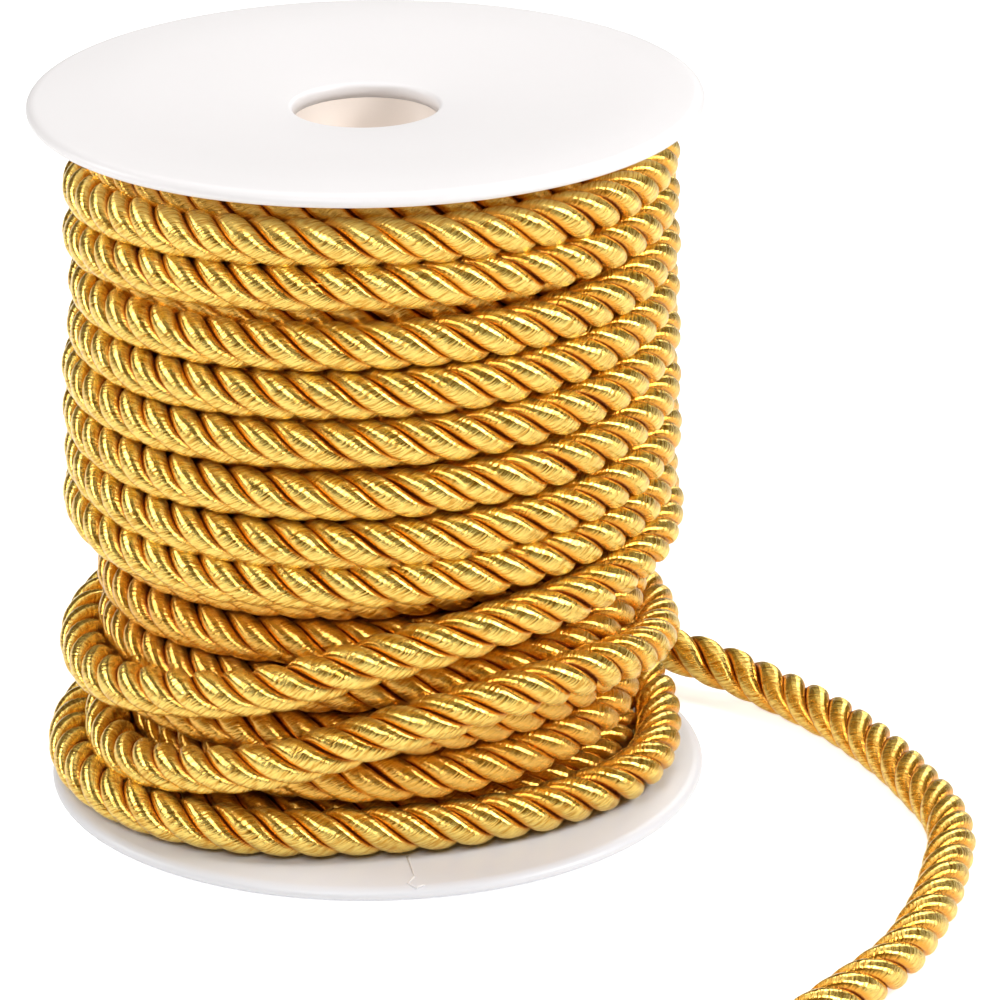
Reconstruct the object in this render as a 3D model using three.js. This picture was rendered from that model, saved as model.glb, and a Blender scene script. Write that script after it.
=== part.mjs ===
// Twisted cord on a plain plastic spool, with its loose end on the surface beside it.
// Millimetres, +Z up. The origin is the centre of the spool's base, and the front is -Y.
// The winding is one closed ring with its turns raised. The loose end shows its three strands.
import * as THREE from "three";
import { mergeVertices } from "three/addons/utils/BufferGeometryUtils.js";

// Spool
const SPOOL_HEIGHT = 73.76;
const FLANGE_RADIUS = 34;
const FLANGE_THICKNESS = 1.5;
const RIM_ROUNDING = 1.2; // how far in from the edge the flange starts to round off
const RIM_ARC_STEPS = 4; // on each half of the rounded edge
const BORE_RADIUS = 7.35;
const HUB_RADIUS = 13; // flat of the hub around the bore
const HUB_SINK = 1.4; // how far the hub lies inside the plane of the flange's flat ring
const DISH_RADIUS = 24; // where the slope from the hub meets the flat ring
const CORE_RADIUS = 9;
const ROUND_STEPS = 48;
const GAP = 0.3; // clearance between neighbouring pieces

// Cord
const CORD_DIAMETER = 4.9;
const CORD_RADIUS = CORD_DIAMETER / 2;
const LAY_LENGTH = 11.7; // length in which a strand goes once round the cord
const STRANDS = 3;
const STRAND_REACH = [1, 0.845, 0.633, 0.845]; // outline over one strand, crest first, share of the radius

// Winding: the outer cord goes down clockwise, seen from above, from the back of the upper flange.
// Each turn starts at the back. Azimuths are in degrees from the front, positive to the right.
const BACK_AZIMUTH = 180;
const TURN_STEPS = 72;
const COARSE_ROWS = [0, 0.33, 0.5, 0.67]; // level lines between a turn's crest and the next one's
const FINE_ROWS = [0, 0.125, 0.25, 0.375, 0.5, 0.625, 0.75, 0.875];
const LOOSE_FROM = 8.5; // turns from the start after which the turns stand apart
const LOOSE_TO = 11;
const END_FACE_STEP = 0.0004; // share of a turn in which the surface drops away past the last turn's end
const FILL_RADIUS = 25; // the winding is filled out to here between its turns

// Under-layer, which shows between the flange and the first turn and between the loose turns
const UNDER_TURNS = 13;
const UNDER_TOP = 69.7; // height of its first turn at the front
const UNDER_PITCH = 4.99;
const UNDER_REACH = 25.7;
const UNDER_LEFT_SWELL = 0.5;
const UNDER_LOW_HEIGHT = 12; // below this the turns are drawn in
const UNDER_LOW_REACH = 25.2;
const UNDER_LOW_LEFT_DRAW = 2;

// Close turns, one row each: height of the cord's centre at eight azimuths from the back round by the right,
// and the reach of its centre line from the axis at four of them.
const CLOSE_AZIMUTHS = [180, 135, 90, 45, 0, -45, -90, -135];
const CLOSE_TURNS = [
  { heights: [69.0, 68.3, 67.6, 67.4, 67.6, 66.5, 65.0, 64.5], back: 28.6, right: 29.1, front: 29.2, left: 28.2 },
  { heights: [64.0, 63.6, 63.1, 62.9, 63.1, 61.9, 60.0, 59.5], back: 28.4, right: 29.1, front: 29.1, left: 28.4 },
  { heights: [59.0, 58.7, 58.3, 57.4, 57.0, 55.9, 54.9, 54.5], back: 28.4, right: 29.2, front: 29.0, left: 28.0 },
  { heights: [54.1, 53.9, 53.6, 52.6, 52.1, 51.0, 50.3, 49.9], back: 28.4, right: 29.1, front: 29.1, left: 28.3 },
  { heights: [49.5, 49.2, 48.8, 47.7, 47.0, 46.1, 45.7, 45.1], back: 28.8, right: 29.3, front: 29.1, left: 29.0 },
  { heights: [44.5, 44.0, 43.5, 42.6, 41.6, 41.0, 41.2, 40.6], back: 29.0, right: 29.3, front: 29.1, left: 29.1 },
  { heights: [39.9, 39.0, 38.3, 37.5, 36.5, 36.0, 36.8, 36.2], back: 29.1, right: 29.4, front: 29.1, left: 29.1 },
  { heights: [35.3, 34.6, 33.9, 33.0, 32.3, 31.6, 31.9, 31.4], back: 29.2, right: 29.0, front: 29.1, left: 29.4 },
];

// Where the cord climbs from the under-layer to its first close turn
const CLIMB = [
  { turn: 0, azimuth: -90, height: 69.4, reach: 25.8 },
  { turn: 0, azimuth: -135, height: 69.3, reach: 27.3 },
];

// Loose turns: two that slant down across the under-layer, and one that lies on the lower flange.
const LOOSE_TURNS = [
  { turn: 9, azimuth: 180, height: 30.8, reach: 29.3 },
  { turn: 9, azimuth: 135, height: 30.2, reach: 29.4 },
  { turn: 9, azimuth: 90, height: 29.6, reach: 29.6 },
  { turn: 9, azimuth: 67, height: 28.7, reach: 29.7 },
  { turn: 9, azimuth: 45, height: 27.9, reach: 29.8 },
  { turn: 9, azimuth: 22, height: 26.9, reach: 29.9 },
  { turn: 9, azimuth: 0, height: 24.5, reach: 29.9 },
  { turn: 9, azimuth: -22, height: 20.6, reach: 30.0 },
  { turn: 9, azimuth: -45, height: 17.9, reach: 30.0 },
  { turn: 9, azimuth: -67, height: 15.9, reach: 30.2 },
  { turn: 9, azimuth: -90, height: 15.7, reach: 30.3 },
  { turn: 9, azimuth: -135, height: 16.3, reach: 30.0 },
  { turn: 10, azimuth: 180, height: 16.3, reach: 29.6 },
  { turn: 10, azimuth: 135, height: 16.5, reach: 29.4 },
  { turn: 10, azimuth: 90, height: 16.2, reach: 29.2 },
  { turn: 10, azimuth: 67, height: 17.6, reach: 29.3 },
  { turn: 10, azimuth: 45, height: 19.2, reach: 29.5 },
  { turn: 10, azimuth: 22, height: 18.9, reach: 29.6 },
  { turn: 10, azimuth: 0, height: 16.3, reach: 29.6 },
  { turn: 10, azimuth: -22, height: 12.3, reach: 29.5 },
  { turn: 10, azimuth: -45, height: 9.4, reach: 29.3 },
  { turn: 10, azimuth: -67, height: 7.4, reach: 28.7 },
  { turn: 10, azimuth: -90, height: 7.6, reach: 27.9 },
  { turn: 10, azimuth: -135, height: 7.4, reach: 27.0 },
  { turn: 11, azimuth: 180, height: 7.4, reach: 26.6 },
  { turn: 11, azimuth: 157, height: 7.4, reach: 27.2 },
  { turn: 11, azimuth: 135, height: 6.8, reach: 28.5 },
  { turn: 11, azimuth: 112, height: 5.6, reach: 30.1 },
  { turn: 11, azimuth: 90, height: 4.5, reach: 29.4 },
  { turn: 11, azimuth: 67, height: 4.3, reach: 29.1 },
  { turn: 11, azimuth: 45, height: 4.3, reach: 27.1 },
  { turn: 11, azimuth: 22, height: 4.3, reach: 25.7 },
  { turn: 11, azimuth: 0, height: 4.3, reach: 25.7 },
  { turn: 11, azimuth: -22, height: 4.3, reach: 27.6 },
  { turn: 11, azimuth: -45, height: 4.3, reach: 30.1 },
  { turn: 11, azimuth: -67, height: 4.3, reach: 31.6 },
  { turn: 11, azimuth: -90, height: 4.4, reach: 31.9 },
  { turn: 11, azimuth: -135, height: 4.5, reach: 31.6 },
  { turn: 12, azimuth: 180, height: 4.4, reach: 31.5 },
  { turn: 12, azimuth: 160, height: 4.4, reach: 31.7 },
];

// Loose end: hand-placed points of its centre line, from the last turn to its cut end.
const LOOSE_END_ROUTE = [
  [10.9, 29.8, 4.4],
  [17.5, 26.9, 4.4],
  [25.0, 23.1, 4.5],
  [32.5, 19.1, 4.4],
  [36.7, 16.8, 3.6],
  [40.1, 14.5, 2.9],
  [43.3, 11.2, 2.55],
  [46.5, 6.8, 2.5],
  [49.1, 2.7, 2.5],
  [51.4, -2.2, 2.5],
  [53.6, -7.5, 2.5],
  [55.6, -14.2, 2.5],
  [57.1, -20.0, 2.5],
  [57.5, -26.1, 2.5],
  [56.2, -33.5, 2.5],
  [54.0, -42.2, 2.5],
  [49.5, -53.5, 2.5],
  [43.1, -62.5, 2.5],
  [36.5, -71.0, 2.5],
];
const LOOSE_END_STEP = 1.3;
const LOOSE_END_START_GAP = 0.45; // from the winding's last face to the loose end's first

// Materials
const WHITE_PLASTIC = { color: 0xf4f0f1, roughness: 0.45, metalness: 0 };
const GOLD_SATIN = { color: 0xd9a11f, roughness: 0.4, metalness: 0.1 };

const rotationAt = (azimuth) => (azimuth * Math.PI) / 180;
const pointAt = (azimuth, reach, height) =>
  new THREE.Vector3(
    reach * Math.sin(rotationAt(azimuth)),
    -reach * Math.cos(rotationAt(azimuth)),
    height,
  );

// A closed surface from triangles given as three points each, without the ones that have shrunk to a line.
function surfaceOf(triangles) {
  const shown = triangles.filter(
    ([a, b, c]) => a.distanceTo(b) > 1e-3 && b.distanceTo(c) > 1e-3 && c.distanceTo(a) > 1e-3,
  );
  const geometry = new THREE.BufferGeometry().setFromPoints(shown.flat());
  const merged = mergeVertices(geometry, 1e-3);
  merged.computeVertexNormals();
  return merged;
}

// Triangles between two lists of points that run side by side. Each point is { at, place },
// and the side whose next point comes first along the list moves on.
function strip(left, right) {
  const triangles = [];
  let i = 0;
  let j = 0;
  while (i < left.length - 1 || j < right.length - 1) {
    const nextLeft = i < left.length - 1 ? left[i + 1].at : Infinity;
    const nextRight = j < right.length - 1 ? right[j + 1].at : Infinity;
    if (nextLeft <= nextRight) {
      triangles.push([left[i].place, left[i + 1].place, right[j].place]);
      i += 1;
    } else {
      triangles.push([left[i].place, right[j + 1].place, right[j].place]);
      j += 1;
    }
  }
  return triangles;
}

// Spool

// Outline of the lower flange's section, from the bore outwards underneath and back over its inner face.
function flangeProfile() {
  const middle = FLANGE_THICKNESS / 2;
  const points = [
    [BORE_RADIUS, HUB_SINK],
    [HUB_RADIUS, HUB_SINK],
    [DISH_RADIUS, 0],
  ];
  for (let step = 0; step <= 2 * RIM_ARC_STEPS; step += 1) {
    const angle = -Math.PI / 2 + (Math.PI * step) / (2 * RIM_ARC_STEPS);
    points.push([
      FLANGE_RADIUS - RIM_ROUNDING + RIM_ROUNDING * Math.cos(angle),
      middle + middle * Math.sin(angle),
    ]);
  }
  points.push(
    [DISH_RADIUS, FLANGE_THICKNESS],
    [HUB_RADIUS, FLANGE_THICKNESS + HUB_SINK],
    [BORE_RADIUS, FLANGE_THICKNESS + HUB_SINK],
    [BORE_RADIUS, HUB_SINK],
  );
  return points.map(([radius, height]) => new THREE.Vector2(radius, height));
}

// A turned piece about the Z axis.
function turned(profile) {
  const geometry = new THREE.LatheGeometry(profile, ROUND_STEPS);
  geometry.rotateX(Math.PI / 2);
  return geometry;
}

function makeFlange(name) {
  const flange = new THREE.Mesh(turned(flangeProfile()), new THREE.MeshStandardMaterial(WHITE_PLASTIC));
  flange.name = name;
  return flange;
}

function makeCoreTube() {
  const low = FLANGE_THICKNESS + HUB_SINK + GAP;
  const high = SPOOL_HEIGHT - low;
  const profile = [
    [BORE_RADIUS, low],
    [CORE_RADIUS, low],
    [CORE_RADIUS, high],
    [BORE_RADIUS, high],
    [BORE_RADIUS, low],
  ].map(([radius, height]) => new THREE.Vector2(radius, height));
  const tube = new THREE.Mesh(turned(profile), new THREE.MeshStandardMaterial(WHITE_PLASTIC));
  tube.name = "core_tube";
  return tube;
}

// Winding

const WINDING_LOW = FLANGE_THICKNESS + GAP;
const WINDING_HIGH = SPOOL_HEIGHT - WINDING_LOW;

// Turns from the back of the first turn's start, counted clockwise.
const travel = (turn, azimuth) => turn + (BACK_AZIMUTH - azimuth) / 360;

// Reach of a close turn at each of its eight azimuths, from the four that the table gives.
function closeReaches(row, nextBack) {
  return [
    row.back,
    (row.back + row.right) / 2,
    row.right,
    (row.right + row.front) / 2,
    row.front,
    (row.front + row.left) / 2,
    row.left,
    (row.left + nextBack) / 2,
  ];
}

// The whole outer path as stations of travel, height and reach.
function outerStations() {
  const stations = CLIMB.map(({ turn, azimuth, height, reach }) => ({
    travel: travel(turn, azimuth),
    height,
    reach,
  }));
  CLOSE_TURNS.forEach((row, index) => {
    const following = CLOSE_TURNS[index + 1] ?? { back: LOOSE_TURNS[0].reach };
    const reaches = closeReaches(row, following.back);
    CLOSE_AZIMUTHS.forEach((azimuth, eighth) =>
      stations.push({
        travel: travel(index + 1, azimuth),
        height: row.heights[eighth],
        reach: reaches[eighth],
      }),
    );
  });
  LOOSE_TURNS.forEach(({ turn, azimuth, height, reach }) =>
    stations.push({ travel: travel(turn, azimuth), height, reach }),
  );
  return stations;
}

const STATIONS = outerStations();
const FIRST_TRAVEL = STATIONS[0].travel;
const LAST_TRAVEL = STATIONS.at(-1).travel;

// The height or reach at a position, smooth through the stations, with slopes taken from their neighbours.
function smoothAt(measure, position) {
  const last = STATIONS.length - 1;
  let index = STATIONS.findIndex((station) => station.travel > position) - 1;
  if (index < 0) index = last - 1;
  const slopeAt = (i) => {
    const before = STATIONS[Math.max(i - 1, 0)];
    const after = STATIONS[Math.min(i + 1, last)];
    return (after[measure] - before[measure]) / (after.travel - before.travel);
  };
  const from = STATIONS[index];
  const to = STATIONS[index + 1];
  const width = to.travel - from.travel;
  const u = (position - from.travel) / width;
  const start = from[measure] * (1 + 2 * u) * (1 - u) ** 2 + slopeAt(index) * width * u * (1 - u) ** 2;
  const end = to[measure] * u * u * (3 - 2 * u) + slopeAt(index + 1) * width * u * u * (u - 1);
  return start + end;
}

// Centre of the cord's under-layer at an azimuth.
function underSection(turn, azimuth) {
  const height = UNDER_TOP - turn * UNDER_PITCH + (UNDER_PITCH * azimuth) / 360;
  const leftness = Math.max(-Math.sin(rotationAt(azimuth)), 0);
  const low = height < UNDER_LOW_HEIGHT;
  const reach = low
    ? UNDER_LOW_REACH - UNDER_LOW_LEFT_DRAW * leftness
    : UNDER_REACH + UNDER_LEFT_SWELL * leftness;
  return { height, reach };
}

// Every section of cord that a vertical half-plane at this azimuth cuts.
function sectionsAt(azimuth) {
  const sections = [];
  for (let turn = 0; travel(turn, azimuth) <= LAST_TRAVEL; turn += 1) {
    const position = travel(turn, azimuth);
    if (position >= FIRST_TRAVEL) {
      sections.push({ height: smoothAt("height", position), reach: smoothAt("reach", position) });
    }
  }
  for (let turn = 0; turn < UNDER_TURNS; turn += 1) {
    sections.push(underSection(turn, azimuth));
  }
  return sections;
}

// How far the winding's surface reaches at a height, over all the cord that lies there.
function surfaceReach(sections, height) {
  return sections.reduce((reach, section) => {
    const away = Math.abs(height - section.height);
    const bulge = away < CORD_RADIUS ? Math.sqrt(CORD_RADIUS ** 2 - away ** 2) : -Infinity;
    return Math.max(reach, section.reach + bulge);
  }, FILL_RADIUS);
}

// Height of the crest line that the surface's rows follow. It starts level with the top of the winding
// one turn before the first close turn, and ends level with its foot one turn after the last turn.
function guideHeight(position) {
  const last = Math.floor(LAST_TRAVEL);
  const within = position - Math.floor(position);
  if (position < 0) return WINDING_HIGH;
  if (position < 1) return THREE.MathUtils.lerp(WINDING_HIGH, smoothAt("height", 1), within);
  if (position < last) return smoothAt("height", position);
  if (position < last + 1) return THREE.MathUtils.lerp(smoothAt("height", last), WINDING_LOW, within);
  return WINDING_LOW;
}

// Where the surface's upright columns stand, as shares of a turn from the back.
const COLUMN_SHARES = [
  ...Array.from({ length: TURN_STEPS }, (unused, step) => step / TURN_STEPS),
  LAST_TRAVEL - Math.floor(LAST_TRAVEL) + END_FACE_STEP,
].sort((a, b) => a - b);

// One upright list of surface points between the guide line and the same line one turn lower.
function column(turn, share) {
  const azimuth = BACK_AZIMUTH - 360 * share;
  const sections = sectionsAt(azimuth);
  const position = turn + share;
  const high = guideHeight(position);
  const low = guideHeight(turn + 1 + share);
  const rows = position >= LOOSE_FROM && position < LOOSE_TO ? FINE_ROWS : COARSE_ROWS;
  return [...rows, 1].map((at) => {
    const height = THREE.MathUtils.lerp(high, low, at);
    return { at, place: pointAt(azimuth, surfaceReach(sections, height), height) };
  });
}

// A level ring of points at one radius, or at the winding's own outline at that height.
function ring(height, radius) {
  return [...COLUMN_SHARES, 0].map((share, index) => {
    const azimuth = BACK_AZIMUTH - 360 * share;
    const reach = radius ?? surfaceReach(sectionsAt(azimuth), height);
    return { at: index, place: pointAt(azimuth, reach, height) };
  });
}

function makeWoundCord() {
  const endTurn = Math.floor(LAST_TRAVEL) + 1;
  const columns = [];
  for (let turn = -1; turn < endTurn; turn += 1) {
    columns.push(...COLUMN_SHARES.map((share) => column(turn, share)));
  }
  columns.push(column(endTurn, 0));
  const triangles = columns.slice(1).flatMap((next, index) => strip(next, columns[index]));
  const hubLow = WINDING_LOW + HUB_SINK;
  const hubHigh = WINDING_HIGH - HUB_SINK;
  const hole = CORE_RADIUS + GAP;
  const rings = [
    ring(WINDING_LOW),
    ring(WINDING_LOW, DISH_RADIUS),
    ring(hubLow, HUB_RADIUS),
    ring(hubLow, hole),
    ring(hubHigh, hole),
    ring(hubHigh, HUB_RADIUS),
    ring(WINDING_HIGH, DISH_RADIUS),
    ring(WINDING_HIGH),
  ];
  rings.slice(1).forEach((next, index) => triangles.push(...strip(rings[index], next)));
  const wound = new THREE.Mesh(surfaceOf(triangles), new THREE.MeshStandardMaterial(GOLD_SATIN));
  wound.name = "wound_cord";
  return wound;
}

// Loose end

// One cross-section of the twisted cord: its outline goes over the strands in turn.
function cordSection(centre, across, upwards, rotation) {
  const count = STRANDS * STRAND_REACH.length;
  return Array.from({ length: count + 1 }, (unused, index) => {
    const angle = rotation + (2 * Math.PI * (index % count)) / count;
    const reach = CORD_RADIUS * STRAND_REACH[index % STRAND_REACH.length];
    const place = centre
      .clone()
      .addScaledVector(across, reach * Math.cos(angle))
      .addScaledVector(upwards, reach * Math.sin(angle));
    return { at: index, place };
  });
}

function makeLooseEnd() {
  const route = new THREE.CatmullRomCurve3(
    LOOSE_END_ROUTE.map(([x, y, z]) => new THREE.Vector3(x, y, z)),
    false,
    "centripetal",
  );
  const length = route.getLength();
  const steps = Math.round((length - LOOSE_END_START_GAP) / LOOSE_END_STEP);
  const vertical = new THREE.Vector3(0, 0, 1);
  const sections = [];
  for (let step = 0; step <= steps; step += 1) {
    const along = LOOSE_END_START_GAP + ((length - LOOSE_END_START_GAP) * step) / steps;
    const tangent = route.getTangentAt(along / length);
    const across = new THREE.Vector3().crossVectors(tangent, vertical).normalize();
    const upwards = new THREE.Vector3().crossVectors(across, tangent);
    const rotation = (-2 * Math.PI * along) / LAY_LENGTH;
    sections.push(cordSection(route.getPointAt(along / length), across, upwards, rotation));
  }
  const triangles = sections.slice(1).flatMap((next, index) => strip(next, sections[index]));
  triangles.push(...endFace(sections[0], true), ...endFace(sections.at(-1), false));
  const end = new THREE.Mesh(surfaceOf(triangles), new THREE.MeshStandardMaterial(GOLD_SATIN));
  end.name = "loose_end";
  return end;
}

// The flat face at one end of the cord, fanned from the middle of the section.
function endFace(section, atStart) {
  const outline = section.slice(0, -1).map(({ place }) => place);
  const middle = outline
    .reduce((sum, place) => sum.add(place), new THREE.Vector3())
    .divideScalar(outline.length);
  return outline.map((place, index) => {
    const next = outline[(index + 1) % outline.length];
    return atStart ? [middle, place, next] : [middle, next, place];
  });
}

const cordOnSpool = new THREE.Group();
cordOnSpool.add(makeWoundCord(), makeLooseEnd(), makeCoreTube());
cordOnSpool.add(makeFlange("flange_bottom"));

const upperFlange = makeFlange("flange_top");
upperFlange.rotation.x = Math.PI;
upperFlange.position.z = SPOOL_HEIGHT;
cordOnSpool.add(upperFlange);

export default cordOnSpool;
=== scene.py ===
import math

import bpy
import numpy as np
from mathutils import Matrix, Vector


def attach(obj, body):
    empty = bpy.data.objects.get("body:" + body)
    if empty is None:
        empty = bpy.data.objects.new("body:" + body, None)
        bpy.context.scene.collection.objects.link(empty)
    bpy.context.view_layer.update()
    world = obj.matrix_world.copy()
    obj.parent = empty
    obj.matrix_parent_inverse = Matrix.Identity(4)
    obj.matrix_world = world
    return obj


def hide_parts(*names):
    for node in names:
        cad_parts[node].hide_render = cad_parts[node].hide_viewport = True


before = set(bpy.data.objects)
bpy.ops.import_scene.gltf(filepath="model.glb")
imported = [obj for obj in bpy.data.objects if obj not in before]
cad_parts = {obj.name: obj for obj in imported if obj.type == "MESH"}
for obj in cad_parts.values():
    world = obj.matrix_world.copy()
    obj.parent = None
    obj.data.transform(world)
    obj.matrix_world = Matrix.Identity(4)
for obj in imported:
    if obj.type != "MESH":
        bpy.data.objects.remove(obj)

bl_info = {
    "name": "Twisted cord on a spool",
    "version": (1, 0, 0),
    "blender": (4, 5, 0),
    "location": "3D View > Sidebar > Cord",
    "description": "Builds a three-ply satin cord wound on a flanged spool, with its loose end",
    "category": "Object",
}

MM = 0.001
SEED = 7
SEED_STEP = 10  # from one kind of irregularity to the next
UNDER_SEED = SEED + 50
CUT_SEED = SEED + 70
STRAY_SEED = SEED + 80
PLIES = 3
GAP = 0.3 * MM  # clearance between the spool and the inner layers

# Turns are counted from the back, clockwise as seen from above. Azimuths are in degrees from
# the front, positive to the right. Heights and reaches are in metres.
BACK_AZIMUTH = 180
CLOSE_AZIMUTHS = (180, 135, 90, 45, 0, -45, -90, -135)

# One row a turn: its heights at the eight azimuths, then its reach at the back, right, front and left.
CLOSE_TURNS = (
    ((0.069, 0.0683, 0.0676, 0.0674, 0.0676, 0.0665, 0.065, 0.0645), 0.0286, 0.0291, 0.0292, 0.0282),
    ((0.064, 0.0636, 0.0631, 0.0629, 0.0631, 0.0619, 0.06, 0.0595), 0.0284, 0.0291, 0.0291, 0.0284),
    ((0.059, 0.0587, 0.0583, 0.0574, 0.057, 0.0559, 0.0549, 0.0545), 0.0284, 0.0292, 0.029, 0.028),
    ((0.0541, 0.0539, 0.0536, 0.0526, 0.0521, 0.051, 0.0503, 0.0499), 0.0284, 0.0291, 0.0291, 0.0283),
    ((0.0495, 0.0492, 0.0488, 0.0477, 0.047, 0.0461, 0.0457, 0.0451), 0.0288, 0.0293, 0.0291, 0.029),
    ((0.0445, 0.044, 0.0435, 0.0426, 0.0416, 0.041, 0.0412, 0.0406), 0.029, 0.0293, 0.0291, 0.0291),
    ((0.0399, 0.039, 0.0383, 0.0375, 0.0365, 0.036, 0.0368, 0.0362), 0.0291, 0.0294, 0.0291, 0.0291),
    ((0.0353, 0.0346, 0.0339, 0.033, 0.0323, 0.0316, 0.0319, 0.0314), 0.0292, 0.029, 0.0291, 0.0294),
)

# Rows of turn, azimuth, height and reach: where the cord climbs out of the under-layer
CLIMB = (
    (0, -60, 0.0688, 0.0245),
    (0, -90, 0.0693, 0.0256),
    (0, -135, 0.0693, 0.0273),
)

# The same four columns for the turns that slant down and the one that lies on the lower flange
LOOSE_TURNS = (
    (9, 180, 0.0308, 0.0293),
    (9, 135, 0.0302, 0.0294),
    (9, 90, 0.0296, 0.0296),
    (9, 67, 0.0287, 0.0297),
    (9, 45, 0.0279, 0.0298),
    (9, 22, 0.0269, 0.0299),
    (9, 0, 0.0245, 0.0299),
    (9, -22, 0.0206, 0.03),
    (9, -45, 0.0179, 0.03),
    (9, -67, 0.0159, 0.0302),
    (9, -90, 0.0157, 0.0303),
    (9, -135, 0.0163, 0.03),
    (10, 180, 0.0163, 0.0296),
    (10, 135, 0.0165, 0.0294),
    (10, 90, 0.0162, 0.0292),
    (10, 67, 0.0176, 0.0293),
    (10, 45, 0.0192, 0.0295),
    (10, 22, 0.0189, 0.0296),
    (10, 0, 0.0163, 0.0296),
    (10, -22, 0.0123, 0.0295),
    (10, -45, 0.0094, 0.0293),
    (10, -67, 0.0074, 0.0287),
    (10, -90, 0.0076, 0.0279),
    (10, -135, 0.0074, 0.027),
    (11, 180, 0.0074, 0.0266),
    (11, 157, 0.0074, 0.0272),
    (11, 135, 0.0068, 0.0285),
    (11, 112, 0.0056, 0.0301),
    (11, 90, 0.0045, 0.0294),
    (11, 67, 0.0043, 0.0291),
    (11, 45, 0.0043, 0.0271),
    (11, 22, 0.0043, 0.0257),
    (11, 0, 0.0043, 0.0257),
    (11, -22, 0.0043, 0.0276),
    (11, -45, 0.0043, 0.0301),
    (11, -67, 0.0043, 0.0316),
    (11, -90, 0.0044, 0.0319),
    (11, -135, 0.0045, 0.0316),
    (12, 180, 0.0044, 0.0315),
    (12, 160, 0.0044, 0.0317),
)

# The same four columns for the lowest turns of the under-layer, which tuck in behind the loose turns
UNDER_LOW_TURNS = (
    (12, 180, 0.0122, 0.0255),
    (12, 90, 0.011, 0.0252),
    (12, 0, 0.0098, 0.0252),
    (12, -45, 0.0092, 0.024),
    (12, -90, 0.0086, 0.0232),
    (12, -135, 0.0079, 0.0221),
    (13, 180, 0.007, 0.0217),
    (13, 135, 0.0058, 0.0238),
    (13, 112, 0.0049, 0.0254),
    (13, 90, 0.0042, 0.0247),
    (13, 45, 0.0041, 0.0222),
    (13, 0, 0.0041, 0.0208),
    (13, -45, 0.0041, 0.0242),
    (13, -90, 0.0041, 0.0246),
    (13, -135, 0.0041, 0.0246),
)

# Centre line of the loose end, in metres, from the last turn to the cut
LOOSE_END_ROUTE = (
    (0.0109, 0.0298, 0.0044),
    (0.0175, 0.0269, 0.0044),
    (0.025, 0.0231, 0.0045),
    (0.0325, 0.0191, 0.0044),
    (0.0367, 0.0168, 0.0036),
    (0.0401, 0.0145, 0.0029),
    (0.0433, 0.0112, 0.00255),
    (0.0465, 0.0068, 0.0025),
    (0.0491, 0.0027, 0.0025),
    (0.0514, -0.0022, 0.0025),
    (0.0536, -0.0075, 0.0025),
    (0.0556, -0.0142, 0.0025),
    (0.0571, -0.02, 0.0025),
    (0.0575, -0.0261, 0.0025),
    (0.0562, -0.0335, 0.0025),
    (0.054, -0.0422, 0.0025),
    (0.0495, -0.0535, 0.0025),
    (0.0431, -0.0625, 0.0025),
    (0.0365, -0.071, 0.0025),
)

# Steps along the lines of the cord, before they are spaced out evenly
OUTER_LINE_STEP = 1 / 720  # of a turn
UNDER_LINE_STEP = 1 / 360
ROUTE_STEP = 0.25 * MM
RUN_OUT_POINTS = 9  # fine points between the last turn's two knots of the route

# Mesh of the under-layer: its ring step over the outer cord's, and its points round a ply
UNDER_RING_STEP = 1.75
UNDER_RING_SIDES = 12

# Ribs of the inner layers, one a turn
INNER_RIBS = 14
INNER_RIB_POINTS = 8
INNER_RIB_DEPTH = 0.8 * MM
INNER_STEPS = 96
INNER_MAP_RADIUS = 24  # millimetres

# How far a ply strays from its even shape: in its turn round the cord, in radians, and in its
# distance from the cord's middle, its depth and its width
WOBBLE_TURN = 0.05
WOBBLE_PLACE = 0.03 * MM
WOBBLE_DEPTH = 0.02 * MM
WOBBLE_WIDTH = 0.04 * MM
WOBBLE_WAVES = (0.011, 0.019, 0.031, 0.057, 0.093)  # metres of cord

# Fibres that stand out of the cut end. Spread and tilt are over a fibre's own length.
CUT_FIBRES = 60  # a ply
CUT_FIBRE_WIDTH = 0.14 * MM
CUT_FIBRE_LENGTH = (0.9, 2.6)  # millimetres
CUT_FIBRE_ROOT = 0.4 * MM  # how far inside the cut a fibre starts
CUT_FIBRE_LOWEST = 0.1 * MM
CUT_FILL = 0.92  # how far out in a ply's section the fibres come out
CUT_SPREAD = 0.5
CUT_TILT = 0.12

# Fibres that stand out of the turns, and one small loop of yarn between two loose turns
STRAY_FIBRES = 26
STRAY_FIBRE_WIDTH = 0.09 * MM
STRAY_FIBRE_ROOT = 0.15 * MM
STRAY_TILT = 0.7  # radians up or down from the outside of a turn
STRAY_REACH = (1.2, 3.2)  # millimetres along the cord, as the next two are across it
STRAY_RISE = (0.3, 0.7)
STRAY_ASIDE = (-0.6, 0.6)
STRAY_BOW = 0.8 * math.pi  # more than a quarter and less than a half wave: the tip stays up
YARN_LOOP = (-0.02525, -0.018, 0.0075)  # its middle
YARN_LOOP_RADIUS = 0.4 * MM
YARN_LOOP_TURN = (-1.9, 2.6)  # radians

# Raised moulding lines on the lower flange: three points of (x, y, z) each, in metres
RIDGE_WIDTH = 0.35 * MM
FLANGE_RIDGES = (
    ((0.0028, -0.0262, 0.0015), (0.0031, -0.0285, 0.0015), (0.0034, -0.0309, 0.0015)),
    ((0.0034, -0.0309, 0.0015), (0.003, -0.0318, 0.0015), (0.0027, -0.0325, 0.0015)),
    ((0.0027, -0.0325, 0.0015), (0.0031, -0.033, 0.0015), (0.0035, -0.0334, 0.0014)),
    ((0.0035, -0.0334, 0.0014), (0.0039, -0.0332, 0.0015), (0.0044, -0.0329, 0.0015)),
)

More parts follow.
